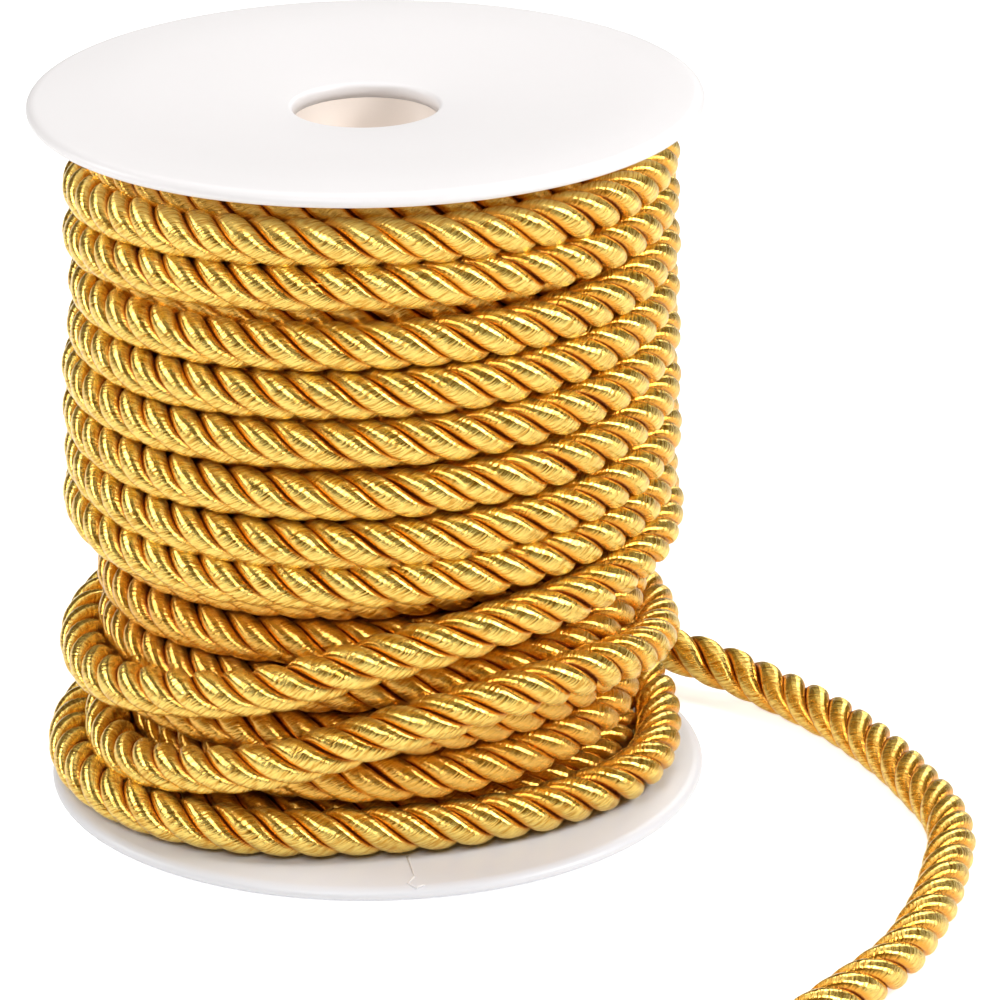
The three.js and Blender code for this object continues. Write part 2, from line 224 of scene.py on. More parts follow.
# Pieces of the outer cord, from one count of turns to the next. The loose end begins after the last.
OUTER_END = 12.0556
OUTER_PIECES = (
    ("close_turns_upper", 0, 5),
    ("close_turns_lower", 5, 9),
    ("loose_turns", 9, OUTER_END),
)
STRAY_TRAVEL = (0.6, OUTER_END - 0.3)  # between which the stray fibres stand

# Camera of the photo: where it stands, and its right, up and backward directions
CAMERA_PLACE = (0, -0.54029, 0.23798)
CAMERA_RIGHT = (0.99956719, -0.02782948, -0.00953655)
CAMERA_UP = (0.0189067, 0.35936214, 0.93300664)
CAMERA_BACK = (-0.02253801, -0.93278313, 0.35973277)
CAMERA_LENS = 202.43

# Softboxes: name, place, side of the square, and power in watts. All point at the middle of the spool.
LIT_POINT = (0, 0, 0.04)
SOFTBOXES = (
    ("light_front_left", (-0.189, -0.583, 0.554), 0.32, 2.9),
    ("light_right", (0.622, -0.178, 0.51), 0.3, 4.5),
    ("light_left", (-0.696, 0.123, 0.416), 0.3, 2.5),
    ("light_far_right", (0.28, 0.601, 0.487), 0.26, 1.4),
    ("light_above", (0.0, 0.25, 0.8), 0.7, 2.0),
)
ROOM_COLOUR = (1, 0.75, 0.45, 1)
ROOM_STRENGTH = 0.08
FLOOR_HALF = 6.0
FLOOR_SEEN_GLOW = 0.5  # added where the camera sees the floor, to keep it as pale as in the photo
FLOOR_GLOW = 0.2


class CordSizes(bpy.types.PropertyGroup):
    """Sizes of the three-ply cord."""

    diameter: bpy.props.FloatProperty(
        name="Diameter", description="Over the strands", default=0.0049, unit="LENGTH"
    )
    lay_length: bpy.props.FloatProperty(
        name="Lay length",
        description="Length in which a ply goes once round the cord",
        default=0.0117,
        unit="LENGTH",
    )
    ply_place: bpy.props.FloatProperty(
        name="Ply place",
        description="From the middle of the cord to the middle of a ply",
        default=0.00127,
        unit="LENGTH",
    )
    ply_width: bpy.props.FloatProperty(
        name="Ply width",
        description="Half of a ply's section round the cord",
        default=0.0015,
        unit="LENGTH",
    )
    ring_step: bpy.props.FloatProperty(
        name="Ring step",
        description="Distance between the rings of the outer cord's mesh",
        default=0.0005,
        unit="LENGTH",
    )
    ring_sides: bpy.props.IntProperty(
        name="Ring sides", description="Points round a ply of the outer cord", default=16, min=6
    )


class LayerSizes(bpy.types.PropertyGroup):
    """Sizes of the cord's layers under the outer turns."""

    top: bpy.props.FloatProperty(
        name="Top", description="Height of the first turn at the front", default=0.0697, unit="LENGTH"
    )
    highest: bpy.props.FloatProperty(
        name="Highest",
        description="Height of a turn that lies against the upper flange",
        default=0.0696,
        unit="LENGTH",
    )
    pitch: bpy.props.FloatProperty(
        name="Pitch", description="From one turn to the next", default=0.00499, unit="LENGTH"
    )
    turns: bpy.props.IntProperty(
        name="Turns",
        description="Even turns of the under-layer, above its lowest ones",
        default=12,
        min=1,
    )
    reach: bpy.props.FloatProperty(
        name="Reach", description="From the axis to the cord's middle", default=0.0257, unit="LENGTH"
    )
    left_swell: bpy.props.FloatProperty(
        name="Left swell", description="Extra reach on the left", default=0.0005, unit="LENGTH"
    )
    inner_reach: bpy.props.FloatProperty(
        name="Inner reach", description="Outside of the inner layers", default=0.0244, unit="LENGTH"
    )
    foot_height: bpy.props.FloatProperty(
        name="Foot height",
        description="The inner layers are narrower below this",
        default=0.0085,
        unit="LENGTH",
    )
    foot_reach: bpy.props.FloatProperty(
        name="Foot reach", description="Outside of the inner layers there", default=0.0195, unit="LENGTH"
    )


class SpoolSizes(bpy.types.PropertyGroup):
    """Sizes of the moulded spool."""

    height: bpy.props.FloatProperty(
        name="Height", description="Over both flanges", default=0.07376, unit="LENGTH"
    )
    flange_radius: bpy.props.FloatProperty(
        name="Flange radius", description="Radius of both flanges", default=0.034, unit="LENGTH"
    )
    flange_thickness: bpy.props.FloatProperty(
        name="Flange thickness", description="Wall of a flange", default=0.0015, unit="LENGTH"
    )
    rim_rounding: bpy.props.FloatProperty(
        name="Rim rounding", description="Width of the rounded edge", default=0.0012, unit="LENGTH"
    )
    bore_radius: bpy.props.FloatProperty(
        name="Bore radius", description="Radius of the bore", default=0.00735, unit="LENGTH"
    )
    bore_bevel: bpy.props.FloatProperty(
        name="Bore bevel", description="Rounding of the bore's edge", default=0.0005, unit="LENGTH"
    )
    hub_radius: bpy.props.FloatProperty(
        name="Hub radius",
        description="Radius of the sunk flat round the bore",
        default=0.013,
        unit="LENGTH",
    )
    hub_sink: bpy.props.FloatProperty(
        name="Hub sink", description="Depth of that flat", default=0.0014, unit="LENGTH"
    )
    dish_radius: bpy.props.FloatProperty(
        name="Dish radius",
        description="Where the slope meets the flat ring",
        default=0.024,
        unit="LENGTH",
    )
    core_radius: bpy.props.FloatProperty(
        name="Core radius", description="Outside of the core tube", default=0.009, unit="LENGTH"
    )
    round_steps: bpy.props.IntProperty(
        name="Round steps", description="Sides of the turned pieces", default=192, min=12
    )


class Finishes(bpy.types.PropertyGroup):
    """Colours of the cord and the spool."""

    gold: bpy.props.FloatVectorProperty(
        name="Gold", description="Satin yarn in the light", subtype="COLOR", default=(1.0, 0.74, 0.165)
    )
    # Painted shade and interreflection: the deeper, oranger gold that a ply turns to towards its
    # neighbours.
    groove_shade_gold: bpy.props.FloatVectorProperty(
        name="Groove shade gold",
        description="Satin yarn between the plies",
        subtype="COLOR",
        default=(0.88, 0.38, 0.012),
    )
    # Painted shadow: the dark line where two plies meet.
    crevice_shade: bpy.props.FloatVectorProperty(
        name="Crevice shade", description="Where two plies meet", subtype="COLOR", default=(0.3, 0.085, 0.004)
    )
    # Painted shade: a darker gold for the layers underneath, in place of the shade they lie in.
    under_shade_gold: bpy.props.FloatVectorProperty(
        name="Under shade gold",
        description="Satin yarn of the layers underneath, in the light",
        subtype="COLOR",
        default=(0.86, 0.5, 0.08),
    )
    shaded_gold: bpy.props.FloatVectorProperty(
        name="Shaded gold",
        description="Dark lines between the fibres",
        subtype="COLOR",
        default=(0.66, 0.33, 0.015),
    )
    white: bpy.props.FloatVectorProperty(
        name="White",
        description="Plastic of the upper flange",
        subtype="COLOR",
        default=(0.825, 0.812, 0.824),
    )
    # Painted shade: the lower flange's darker, bluer plastic stands in for the shade it lies in, not for
    # dust or handling.
    painted_shade_white: bpy.props.FloatVectorProperty(
        name="Painted shade white",
        description="Plastic of the lower flange, dulled by dust and handling",
        subtype="COLOR",
        default=(0.75, 0.765, 0.81),
    )
    core_white: bpy.props.FloatVectorProperty(
        name="Core white", description="Plastic of the core", subtype="COLOR", default=(0.81, 0.71, 0.635)
    )


def smooth_between(stations, at):
    """Values at positions along stations of (position, values...), with slopes from the neighbours."""
    stations = np.asarray(stations, float)
    places, values = stations[:, 0], stations[:, 1:]
    last = len(places) - 1
    before = np.maximum(np.arange(last + 1) - 1, 0)
    after = np.minimum(np.arange(last + 1) + 1, last)
    slopes = (values[after] - values[before]) / (places[after] - places[before])[:, None]
    start = np.clip(np.searchsorted(places, at, side="right") - 1, 0, last - 1)
    width = (places[start + 1] - places[start])[:, None]
    u = (np.asarray(at) - places[start])[:, None] / width
    left = values[start] * (1 + 2 * u) * (1 - u) ** 2 + slopes[start] * width * u * (1 - u) ** 2
    right = values[start + 1] * u * u * (3 - 2 * u) + slopes[start + 1] * width * u * u * (u - 1)
    return left + right


def travel(turn, azimuth):
    """Turns gone from the start of the cord, at the back, to an azimuth in one of its turns."""
    return turn + (BACK_AZIMUTH - azimuth) / 360


def outer_stations():
    """Rows of travel, height and reach for the whole outer cord."""
    rows = [(travel(turn, azimuth), height, reach) for turn, azimuth, height, reach in CLIMB]
    backs = [row[1] for row in CLOSE_TURNS] + [LOOSE_TURNS[0][3]]
    for index, (heights, back, right, front, left) in enumerate(CLOSE_TURNS):
        corners = (back, right, front, left, backs[index + 1])
        for eighth, azimuth in enumerate(CLOSE_AZIMUTHS):
            quarter, between = divmod(eighth, 2)
            reach = (corners[quarter] + corners[quarter + between]) / 2
            rows.append((travel(index + 1, azimuth), heights[eighth], reach))
    rows += [(travel(turn, azimuth), height, reach) for turn, azimuth, height, reach in LOOSE_TURNS]
    return rows


def under_stations(layer):
    """Rows of travel, height and reach for the under-layer: even turns, then its lowest ones."""
    rows = []
    for turn in range(layer.turns):
        for azimuth in CLOSE_AZIMUTHS:
            height = layer.top - layer.pitch * (turn - azimuth / 360)
            leftness = max(-math.sin(math.radians(azimuth)), 0)
            reach = layer.reach + layer.left_swell * leftness
            rows.append((travel(turn, azimuth), min(height, layer.highest), reach))
    rows += [(travel(turn, azimuth), height, reach) for turn, azimuth, height, reach in UNDER_LOW_TURNS]
    return rows


def on_round(azimuth, reach, height):
    """Points at an azimuth in degrees, a reach from the axis and a height."""
    angle = np.radians(azimuth)
    return np.stack([reach * np.sin(angle), -reach * np.cos(angle), height], axis=-1)


def distances(points):
    """How far along a line each of its points is."""
    return np.concatenate([[0], np.cumsum(np.linalg.norm(np.diff(points, axis=0), axis=1))])


def outer_path():
    """Fine points of the outer cord from the climb to the cut, and the travel of each.

    Past the last turn the travel goes on as the last turn's travel plus metres of loose end.
    """
    stations = outer_stations()
    at = np.arange(stations[0][0], stations[-1][0], OUTER_LINE_STEP)
    height, reach = smooth_between(stations, at).T
    winding = on_round(BACK_AZIMUTH - 360 * at, reach, height)
    knots = np.vstack([winding[-RUN_OUT_POINTS], winding[-1], np.array(LOOSE_END_ROUTE)[1:]])
    long = distances(knots)
    along = np.arange(long[1], long[-1], ROUTE_STEP)[1:]
    route = smooth_between(np.column_stack([long, knots]), np.append(along, long[-1]))
    beyond = at[-1] + np.append(along, long[-1]) - long[1]
    return np.vstack([winding, route]), np.append(at, beyond)


def spaced(points, step):
    """Points at even steps along a line, and how far along each of them is."""
    long = distances(points)
    along = np.linspace(0, long[-1], round(long[-1] / step) + 1)
    return np.stack([np.interp(along, long, points[:, k]) for k in range(3)], axis=1), along


def outer_rings(sizes):
    """Ring centres of the whole outer cord, how far along each is, and its travel."""
    fine, fine_travel = outer_path()
    points, along = spaced(fine, sizes.ring_step)
    return points, along, np.interp(along, distances(fine), fine_travel)


def wobble(along, amount, seed):
    """A gentle irregularity along the cord: a few waves with seeded phases."""
    count = len(WOBBLE_WAVES)
    phases = np.random.default_rng(seed).random(count) * 2 * math.pi
    total = sum(np.sin(2 * math.pi * along / wave + phase) for wave, phase in zip(WOBBLE_WAVES, phases))
    return amount * total / math.sqrt(count)


def cord_frame(points):
    """Directions along, across and upwards of the cord at each point."""
    forward = np.gradient(points, axis=0)
    forward /= np.linalg.norm(forward, axis=1)[:, None]
    across = np.cross(forward, (0, 0, 1))
    across /= np.linalg.norm(across, axis=1)[:, None]
    return forward, across, np.cross(across, forward)


# Direction of the fibres on a ply: how much each of two coordinates, along and across the
# fibres, grows with a millimetre of cord and with a millimetre round the ply
FIBRE_ALONG = (0.349, 0.423)
FIBRE_ACROSS = (1.615, -0.906)
PLY_MIDDLE_RADIUS = 1.35  # millimetres a radian round the ply
PLY_SHIFT = 41.0  # keeps the pattern of one ply away from the next one's


def ply_rings(points, along, sizes, sides, seed):
    """Vertices of the three plies as an array (ply, ring, side, xyz), and the angle of each side."""
    _, across, upwards = cord_frame(points)
    sides_at = np.linspace(-math.pi, math.pi, sides + 1)
    rings = []
    for ply in range(PLIES):
        turn = -2 * math.pi * along / sizes.lay_length + 2 * math.pi * ply / PLIES
        turn = turn + wobble(along, WOBBLE_TURN, seed + ply)
        outwards = np.cos(turn)[:, None] * across + np.sin(turn)[:, None] * upwards
        sideways = np.cos(turn)[:, None] * upwards - np.sin(turn)[:, None] * across
        place = sizes.ply_place + wobble(along, WOBBLE_PLACE, seed + SEED_STEP + ply)
        depth = sizes.diameter / 2 - sizes.ply_place
        depth = depth + wobble(along, WOBBLE_DEPTH, seed + 2 * SEED_STEP + ply)
        width = sizes.ply_width + wobble(along, WOBBLE_WIDTH, seed + 3 * SEED_STEP + ply)
        radial = place[:, None] + depth[:, None] * np.cos(sides_at)[None, :]
        tangential = width[:, None] * np.sin(sides_at)[None, :]
        rings.append(
            points[:, None, :]
            + radial[..., None] * outwards[:, None, :]
            + tangential[..., None] * sideways[:, None, :]
        )
    return np.array(rings), sides_at


def tube_quads(first, rings, sides):
    """Quads of a tube whose vertices, from first on, go ring by ring."""
    ring = first + np.arange(rings)[:, None] * sides
    side = np.arange(sides)[None, :]
    following = (side + 1) % sides
    corners = [ring[:-1] + side, ring[1:] + side, ring[1:] + following, ring[:-1] + following]
    return np.stack(corners, axis=-1).reshape(-1, 4)


def tube_caps(first, rings, sides):
    """The two ends of such a tube, both facing outwards."""
    last = first + (rings - 1) * sides
    return [np.arange(first, first + sides), np.arange(last, last + sides)[::-1]]


def cord_mesh(name, points, along, sizes, sides, seed):
    """A length of three-ply cord as one mesh, with its ends closed."""
    rings, sides_at = ply_rings(points, along, sizes, sides, seed)
    plies, count = rings.shape[:2]
    vertices = rings[:, :, :-1].reshape(-1, 3)
    mm_along = np.broadcast_to(along[:, None] / MM, (count, sides + 1))
    mm_round = np.broadcast_to(PLY_MIDDLE_RADIUS * sides_at[None, :], (count, sides + 1))
    faces, caps, fibre, groove = [], [], [], []
    for ply in range(plies):
        faces.append(tube_quads(ply * count * sides, count, sides))
        caps += tube_caps(ply * count * sides, count, sides)
        a = FIBRE_ALONG[0] * mm_along + FIBRE_ALONG[1] * mm_round + ply * PLY_SHIFT
        b = FIBRE_ACROSS[0] * mm_along + FIBRE_ACROSS[1] * mm_round + ply * PLY_SHIFT
        fibre.append(at_corners(np.stack([a, b], axis=-1)))
        groove.append(at_corners(np.stack([mm_along, mm_round], axis=-1)))
    maps = {"Fibre": np.concatenate(fibre), "Ply": np.concatenate(groove)}
    return mesh_object(name, vertices, np.concatenate(faces), caps, maps)


THREAD_POINTS = 9
THREAD_SIDES = 4
THREAD_TIP = 0.5  # thickness at the tip over the thickness at the root
THREAD_ROUND = 0.1  # millimetres a side, on the fibre map


def thread_mesh(name, lines, thickness):
    """Fine threads as one mesh. Each follows its own line of points and thins towards its tip."""
    angles = np.linspace(0, 2 * math.pi, THREAD_SIDES, endpoint=False)[None, :, None]
    radius = thickness / 2 * np.linspace(1, THREAD_TIP, THREAD_POINTS)[:, None, None]
    vertices, faces, caps, fibre = [], [], [], []
    for index, line in enumerate(lines):
        _, across, upwards = cord_frame(line)
        turned = np.cos(angles) * across[:, None] + np.sin(angles) * upwards[:, None]
        vertices.append((line[:, None] + radius * turned).reshape(-1, 3))
        first = index * THREAD_POINTS * THREAD_SIDES
        faces.append(tube_quads(first, THREAD_POINTS, THREAD_SIDES))
        caps += tube_caps(first, THREAD_POINTS, THREAD_SIDES)
        mm_along = np.broadcast_to(distances(line)[:, None] / MM, (THREAD_POINTS, THREAD_SIDES + 1))
        mm_round = np.broadcast_to(THREAD_ROUND * np.arange(THREAD_SIDES + 1.0)[None, :], mm_along.shape)
        fibre.append(at_corners(np.stack([mm_along, mm_round + index], axis=-1)))
    fibre = np.concatenate(fibre)
    maps = {"Fibre": fibre, "Ply": np.zeros_like(fibre)}
    return mesh_object(name, np.concatenate(vertices), np.concatenate(faces), caps, maps)


def at_corners(grid):
    """Values at the four corners of each quad of a grid of points, in the quads' own order."""
    corners = [grid[:-1, :-1], grid[1:, :-1], grid[1:, 1:], grid[:-1, 1:]]
    return np.stack(corners, axis=2).reshape(-1, grid.shape[-1])


def mesh_object(name, vertices, quads, caps=(), maps=None):
    """A mesh of smooth quads and flat caps. Caps get zeros on the maps."""
    mesh = bpy.data.meshes.new(name)
    corners = np.concatenate([quads.ravel(), *[np.asarray(cap) for cap in caps]]).astype(np.int32)
    sizes = np.array([4] * len(quads) + [len(cap) for cap in caps])
    mesh.vertices.add(len(vertices))
    mesh.vertices.foreach_set("co", np.asarray(vertices, np.float32).ravel())
    mesh.loops.add(len(corners))
    mesh.loops.foreach_set("vertex_index", corners)
    mesh.polygons.add(len(sizes))
    mesh.polygons.foreach_set("loop_start", np.concatenate([[0], np.cumsum(sizes)[:-1]]).astype(np.int32))
    mesh.polygons.foreach_set("use_smooth", np.arange(len(sizes)) < len(quads))
    for label, values in (maps or {}).items():
        layer = mesh.uv_layers.new(name=label)
        filled = np.zeros((len(corners), 2), np.float32)
        filled[: len(values)] = values
        layer.uv.foreach_set("vector", filled.ravel())
    mesh.update(calc_edges=True)
    mesh.validate()
    made = bpy.data.objects.new(name, mesh)
    bpy.context.scene.collection.objects.link(made)
    return made


def lathe(name, profile, steps):
    """A turned piece about the spool's axis, from a closed outline of (radius, height)."""
    outline = np.array(profile, float)
    count = len(outline)
    angles = np.linspace(0, 2 * math.pi, steps, endpoint=False)
    radius = outline[None, :, 0]
    vertices = np.stack(
        [
            radius * np.cos(angles)[:, None],
            radius * np.sin(angles)[:, None],
            np.broadcast_to(outline[None, :, 1], (steps, count)),
        ],
        axis=-1,
    ).reshape(-1, 3)
    column = np.arange(steps)[:, None] * count
    after = (np.arange(steps)[:, None] + 1) % steps * count
    row = np.arange(count)[None, :]
    above = (row + 1) % count
    quads = np.stack([column + row, after + row, after + above, column + above], axis=-1).reshape(-1, 4)
    return mesh_object(name, vertices, quads)


def finish_piece(obj, material, slot, *nodes):
    """Gives a piece its material and body, and hides the CAD nodes that it stands for. The slot is not
    used.
    """
    obj.data.materials.append(material)
    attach(obj, "root")
    if nodes:
        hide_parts(*nodes)


# Node trees


def add_node(tree, kind, inputs=None, **settings):
    """Adds a shader node. Inputs are values, or sockets to link from."""
    made = tree.nodes.new(kind)
    for name, value in settings.items():
        setattr(made, name, value)
    for key, value in (inputs or {}).items():
        if isinstance(value, bpy.types.NodeSocket):
            tree.links.new(value, made.inputs[key])
        else:
            made.inputs[key].default_value = value
    return made


def maths(tree, operation, first, second, third=0.5):
    """Result of a sum on values or sockets."""
    values = {0: first, 1: second, 2: third}
    return add_node(tree, "ShaderNodeMath", values, operation=operation).outputs[0]


def ramp(tree, value, start, end, low=0.0, high=1.0, kind="LINEAR"):
    """Goes from low to high while the value goes from start to end."""
    limits = {"From Min": start, "From Max": end, "To Min": low, "To Max": high}
    settings = {"Value": value, **limits}
    return add_node(tree, "ShaderNodeMapRange", settings, interpolation_type=kind).outputs[0]


def mixed(tree, share, first, second):
    """Colour between two others, each a socket or red, green and blue."""
    colours = [c if isinstance(c, bpy.types.NodeSocket) else (*c, 1) for c in (first, second)]
    inputs = {"Fac": share, "Color1": colours[0], "Color2": colours[1]}
    return add_node(tree, "ShaderNodeMixRGB", inputs).outputs[0]


def stretched_noise(tree, vector, along, across):
    """Noise drawn out along the first coordinate. Along and across are cells a millimetre."""
    inputs = {0: vector, 1: (along, across, 0)}
    scaled = add_node(tree, "ShaderNodeVectorMath", inputs, operation="MULTIPLY")
    noise = add_node(
        tree,
        "ShaderNodeTexNoise",
        {"Vector": scaled.outputs[0], "Scale": 1, "Detail": 1, "Roughness": 0.6},
        noise_dimensions="2D",
    )
    return noise.outputs["Fac"]


# Cells a millimetre, along and across the fibres, of single fibres and of bundles of them
FINE_CELLS = (0.7, 7.0)
BUNDLE_CELLS = (0.45, 3.2)
BUNDLE_HEIGHT = 2.0  # relief of the bundles over the single fibres
FINE_TONE = 0.55
BUNDLE_TONE = 0.45


def fibre_group():
    """Shared effect: lines of fine fibres, from a map with along and across in millimetres."""
    found = bpy.data.node_groups.get("Fibre lines")
    if found:
        return found
    tree = bpy.data.node_groups.new("Fibre lines", "ShaderNodeTree")
    tree.interface.new_socket("Fibre", in_out="INPUT", socket_type="NodeSocketVector")
    tree.interface.new_socket("Height", in_out="OUTPUT", socket_type="NodeSocketFloat")
    tree.interface.new_socket("Tone", in_out="OUTPUT", socket_type="NodeSocketFloat")
    start = add_node(tree, "NodeGroupInput")
    end = add_node(tree, "NodeGroupOutput")
    fine = stretched_noise(tree, start.outputs["Fibre"], *FINE_CELLS)
    bundles = stretched_noise(tree, start.outputs["Fibre"], *BUNDLE_CELLS)
    height = maths(tree, "MULTIPLY_ADD", bundles, BUNDLE_HEIGHT, fine)
    tree.links.new(height, end.inputs["Height"])
    bundle_tone = maths(tree, "MULTIPLY", bundles, BUNDLE_TONE)
    tree.links.new(maths(tree, "MULTIPLY_ADD", fine, FINE_TONE, bundle_tone), end.inputs["Tone"])
    return tree


def new_material(name):
    """A material, its node tree and its shader."""
    material = bpy.data.materials.new(name)
    material.use_nodes = True
    shader = material.node_tree.nodes["Principled BSDF"]
    return material, material.node_tree, shader


# Painted shade and interreflection: where a ply's colour turns deeper and oranger towards its neighbour,
# in millimetres round it from its crest, and where it turns to the painted crevice shadow. On the upper
# side the painted groove shade starts further out.
GROOVE_SHADE = (1.1, 2.1)
UPPER_GROOVE_SHADE_SHIFT = 0.55
CREVICE_SHADE = (2.15, 2.6)

# Tones of the fibre pattern between which the yarn goes from shaded to lit, and from smooth to rough
LIT_TONES = (0.38, 0.56)
ROUGH_TONES = (0.36, 0.6)
YARN_ROUGHNESS = (0.17, 0.25)
FIBRE_RELIEF = 0.04 * MM


def satin_material(name, gold):
    """Satin yarn with its fibres lying across the plies and its highlights along them."""
    found = bpy.data.materials.get(name)
    if found:
        return found
    finishes = bpy.context.scene.cord_finishes
    material, tree, shader = new_material(name)
    fibre_map = add_node(tree, "ShaderNodeUVMap", uv_map="Fibre")
    ply_map = add_node(tree, "ShaderNodeUVMap", uv_map="Ply")
    lines = add_node(tree, "ShaderNodeGroup", node_tree=fibre_group())
    tree.links.new(fibre_map.outputs[0], lines.inputs["Fibre"])
    tone = lines.outputs["Tone"]
    round_ply = add_node(tree, "ShaderNodeSeparateXYZ", {0: ply_map.outputs[0]}).outputs["Y"]
    upper_side = maths(tree, "SUBTRACT", -UPPER_GROOVE_SHADE_SHIFT, round_ply)
    away = maths(tree, "MAXIMUM", round_ply, upper_side)
    lit = ramp(tree, tone, *LIT_TONES)
    # Painted shade: the groove mask turns the yarn deeper and oranger towards its neighbours, the crevice
    # mask dark where the plies meet.
    groove = ramp(tree, away, *GROOVE_SHADE, kind="SMOOTHSTEP")
    crevice_shade = ramp(tree, maths(tree, "ABSOLUTE", round_ply, 0), *CREVICE_SHADE, kind="SMOOTHSTEP")
    fibres = mixed(tree, lit, finishes.shaded_gold, gold)
    grooved = mixed(tree, groove, fibres, finishes.groove_shade_gold)
    tree.links.new(mixed(tree, crevice_shade, grooved, finishes.crevice_shade), shader.inputs["Base Color"])
    roughness = ramp(tree, tone, *ROUGH_TONES, *YARN_ROUGHNESS)
    tree.links.new(roughness, shader.inputs["Roughness"])
    relief = {"Height": lines.outputs["Height"], "Strength": 1, "Distance": FIBRE_RELIEF}
    bump = add_node(tree, "ShaderNodeBump", relief)
    tree.links.new(bump.outputs[0], shader.inputs["Normal"])
    tangent = add_node(tree, "ShaderNodeTangent", direction_type="UV_MAP", uv_map="Fibre")
    tree.links.new(tangent.outputs[0], shader.inputs["Tangent"])
    shader.inputs["Metallic"].default_value = 0.83
    shader.inputs["IOR"].default_value = 3.0
    shader.inputs["Anisotropic"].default_value = 1.0
    shader.inputs["Anisotropic Rotation"].default_value = 0.25
    return material


def outer_yarn():
    """The yarn of the outer cord, in its own gold."""
    return satin_material("gold_satin_yarn", bpy.context.scene.cord_finishes.gold)


def shaded_under_yarn():
    """The yarn of the layers underneath, darker as painted shade."""
    return satin_material("under_satin_painted_shade", bpy.context.scene.cord_finishes.under_shade_gold)


MOTTLED_SHARE = 0.97  # brightness of the plastic's duller patches over its own
PLASTIC_ROUGHNESS = (0.32, 0.48)


def plastic_material(name, colour):
    """Moulded plastic of one colour, faintly mottled and grained."""
    found = bpy.data.materials.get(name)
    if found:
        return found
    material, tree, shader = new_material(name)
    where = add_node(tree, "ShaderNodeTexCoord").outputs["Object"]
    patches = add_node(tree, "ShaderNodeTexNoise", {"Vector": where, "Scale": 60, "Detail": 3})
    grain = add_node(tree, "ShaderNodeTexNoise", {"Vector": where, "Scale": 900, "Detail": 2})
    duller = [MOTTLED_SHARE * channel for channel in colour]
    mottled = mixed(tree, patches.outputs["Fac"], colour, duller)
    roughness = ramp(tree, patches.outputs["Fac"], 0, 1, *PLASTIC_ROUGHNESS)
    relief = {"Height": grain.outputs["Fac"], "Strength": 0.15, "Distance": 0.1 * MM}
    bump = add_node(tree, "ShaderNodeBump", relief)
    tree.links.new(mottled, shader.inputs["Base Color"])
    tree.links.new(roughness, shader.inputs["Roughness"])
    tree.links.new(bump.outputs[0], shader.inputs["Normal"])
    return material


def floor_material():
    """Plain pale floor, faintly uneven."""
    material, tree, shader = new_material("pale_floor")
    where = add_node(tree, "ShaderNodeTexCoord").outputs["Object"]
    patches = add_node(tree, "ShaderNodeTexNoise", {"Vector": where, "Scale": 3, "Detail": 1})
    colour = mixed(tree, patches.outputs["Fac"], (0.9, 0.9, 0.9), (0.89, 0.89, 0.89))
    tree.links.new(colour, shader.inputs["Base Color"])
    shader.inputs["Roughness"].default_value = 0.9
    shader.inputs["Emission Color"].default_value = (1, 1, 1, 1)
    seen = add_node(tree, "ShaderNodeLightPath").outputs["Is Camera Ray"]
    glow = maths(tree, "MULTIPLY_ADD", seen, FLOOR_SEEN_GLOW, FLOOR_GLOW)
    tree.links.new(glow, shader.inputs["Emission Strength"])
    return material


class CORD_OT_stage(bpy.types.Operator):
    """Builds the floor, the softboxes and the photo's camera"""

    bl_idname = "cord.stage"
    bl_label = "Stage"

    def execute(self, context):
        scene = context.scene
        data = bpy.data.cameras.new("photo_camera")
        data.sensor_width = 36
        data.lens = CAMERA_LENS
        data.clip_start = 0.01
        camera = bpy.data.objects.new("photo_camera", data)
        axes = Matrix((CAMERA_RIGHT, CAMERA_UP, CAMERA_BACK)).transposed()
        camera.matrix_world = Matrix.Translation(CAMERA_PLACE) @ axes.to_4x4()
        scene.collection.objects.link(camera)
        scene.camera = camera
        corners = np.array([(-1, -1, 0), (1, -1, 0), (1, 1, 0), (-1, 1, 0)]) * FLOOR_HALF
        floor = mesh_object("floor", corners, np.array([[0, 1, 2, 3]]))
        floor.data.materials.append(floor_material())
        for name, place, side, power in SOFTBOXES:
            lamp = bpy.data.lights.new(name, "AREA")
            lamp.shape = "SQUARE"
            lamp.size = side
            lamp.energy = power
            box = bpy.data.objects.new(name, lamp)
            box.location = place
            box.rotation_euler = (Vector(LIT_POINT) - Vector(place)).to_track_quat("-Z", "Y").to_euler()
            scene.collection.objects.link(box)
        world = bpy.data.worlds.new("soft_room")
        world.use_nodes = True
        background = world.node_tree.nodes["Background"]
        background.inputs["Color"].default_value = ROOM_COLOUR
        background.inputs["Strength"].default_value = ROOM_STRENGTH
        scene.world = world
        scene.view_settings.view_transform = "Standard"
        return {"FINISHED"}


class CORD_OT_cut_end(bpy.types.Operator):
    """Builds the fibres that stand out of the loose end's cut"""

    bl_idname = "cord.cut_end"
    bl_label = "Cut end"

    def execute(self, context):
        sizes = context.scene.cord_sizes
        points, along, _ = outer_rings(sizes)
        rings, _ = ply_rings(points, along, sizes, sizes.ring_sides, SEED)
        forward, across, upwards = (directions[-1] for directions in cord_frame(points))
        random = np.random.default_rng(CUT_SEED)
        t = np.linspace(0, 1, THREAD_POINTS)[:, None]
        lines = []
        for ring in rings[:, -1, :-1]:
            middle = ring.mean(axis=0)
            for _ in range(CUT_FIBRES):
                share = CUT_FILL * math.sqrt(random.random())
                place = middle + share * (ring[random.integers(len(ring))] - middle)
                outwards = (place - points[-1]) / sizes.ply_width
                spread = outwards * random.uniform(0, CUT_SPREAD) + across * random.normal(0, CUT_TILT)
                spread = spread + upwards * random.normal(0, CUT_TILT)
                length = random.uniform(*CUT_FIBRE_LENGTH) * MM
                root = place - CUT_FIBRE_ROOT * forward
                line = root + t * length * forward + t * t * length * spread
                line[:, 2] = np.maximum(line[:, 2], CUT_FIBRE_LOWEST)
                lines.append(line)
        made = thread_mesh("cut_end_fibres", np.array(lines), CUT_FIBRE_WIDTH)
        finish_piece(made, outer_yarn(), "cord", "loose_end")
        return {"FINISHED"}


